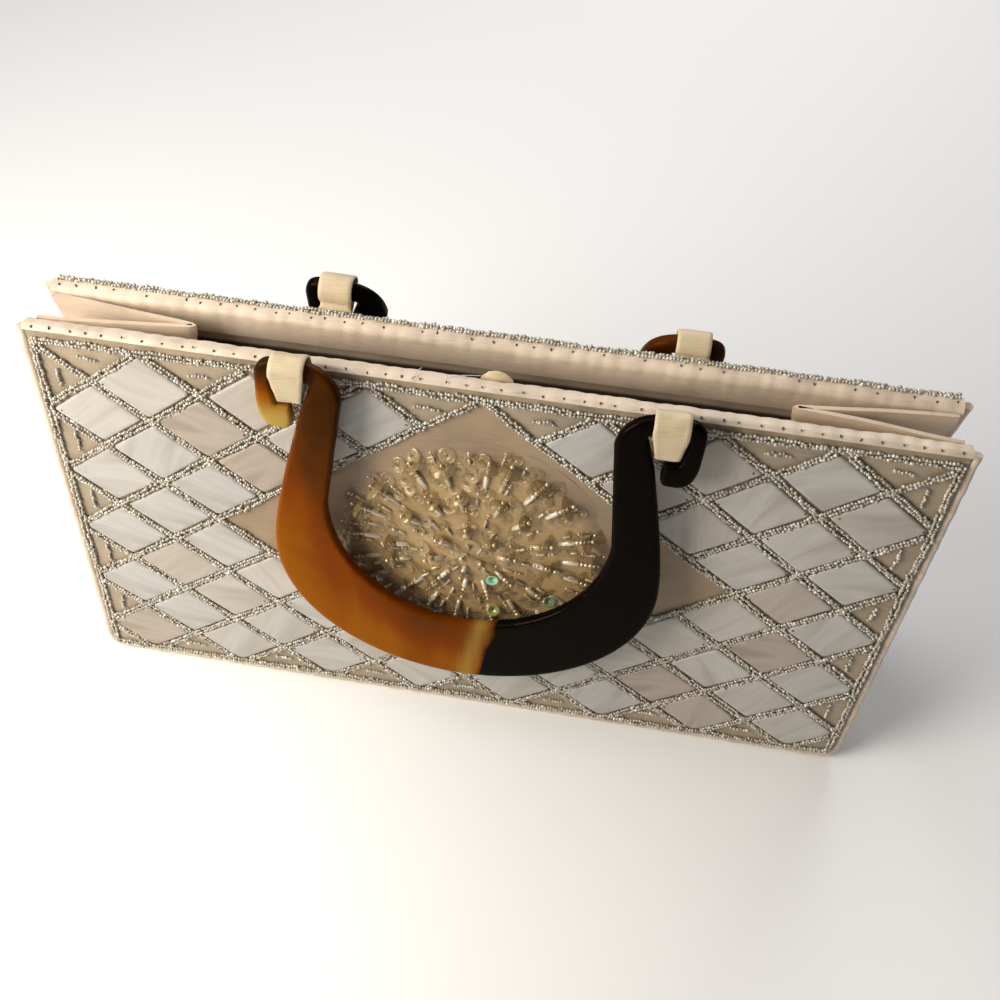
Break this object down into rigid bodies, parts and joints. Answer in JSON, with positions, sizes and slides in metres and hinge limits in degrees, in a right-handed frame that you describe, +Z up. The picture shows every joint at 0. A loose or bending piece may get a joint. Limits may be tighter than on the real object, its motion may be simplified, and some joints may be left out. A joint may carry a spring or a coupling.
{
  "type": "beaded box handbag",
  "caption": "Beaded evening handbag: two stiff panels leaning together, pearl tile lattice, bead medallion, folded satin sides and swinging U handles.",
  "frame": {"origin": "middle of the base's underside, where the bag stands", "axes": "+Z up, +X along the bag's width, -Y is the front"},
  "size_m": [0.2858, 0.0882, 0.1557],
  "materials": {
    "satin": "champagne satin with a soft sheen",
    "lining": "satin over board, in shade",
    "pearl_tile": "streaked mother-of-pearl look",
    "silver_bead": "silver-lined clear glass beads",
    "gold_bead": "gold-lined bugle beads and clear sequins",
    "tortoiseshell": "polished amber, brown and black tortoiseshell"
  },
  "bodies": {
    "bag": {"base_panel": "satin", "front_panel": "lining", "back_panel": "lining", "front_tile_field": "pearl_tile", "back_tile_field": "pearl_tile", "front_bead_lattice": "silver_bead", "back_bead_lattice": "silver_bead", "front_medallion": "gold_bead", "back_medallion": "gold_bead", "front_rim": "satin", "back_rim": "satin", "front_piping": "satin", "back_piping": "satin", "left_gusset": "satin", "right_gusset": "satin", "front_left_tab": "satin", "front_right_tab": "satin", "back_left_tab": "satin", "back_right_tab": "satin", "closure_dome": "satin"},
    "front_handle": {"front_handle": "tortoiseshell"},
    "back_handle": {"back_handle": "tortoiseshell"}
  },
  "joints": [
    {"name": "front_handle_swing", "type": "hinge", "parent": "bag", "child": "front_handle", "pos_m": [0, -0.01828, 0.14878], "axis": [-0.9999, 0.0027, 0.0155], "range_deg": [0, 172]},
    {"name": "back_handle_swing", "type": "hinge", "parent": "bag", "child": "back_handle", "pos_m": [0.005, 0.01833, 0.14848], "axis": [0.999, 0.0075, -0.043], "range_deg": [0, 172]}
  ]
}
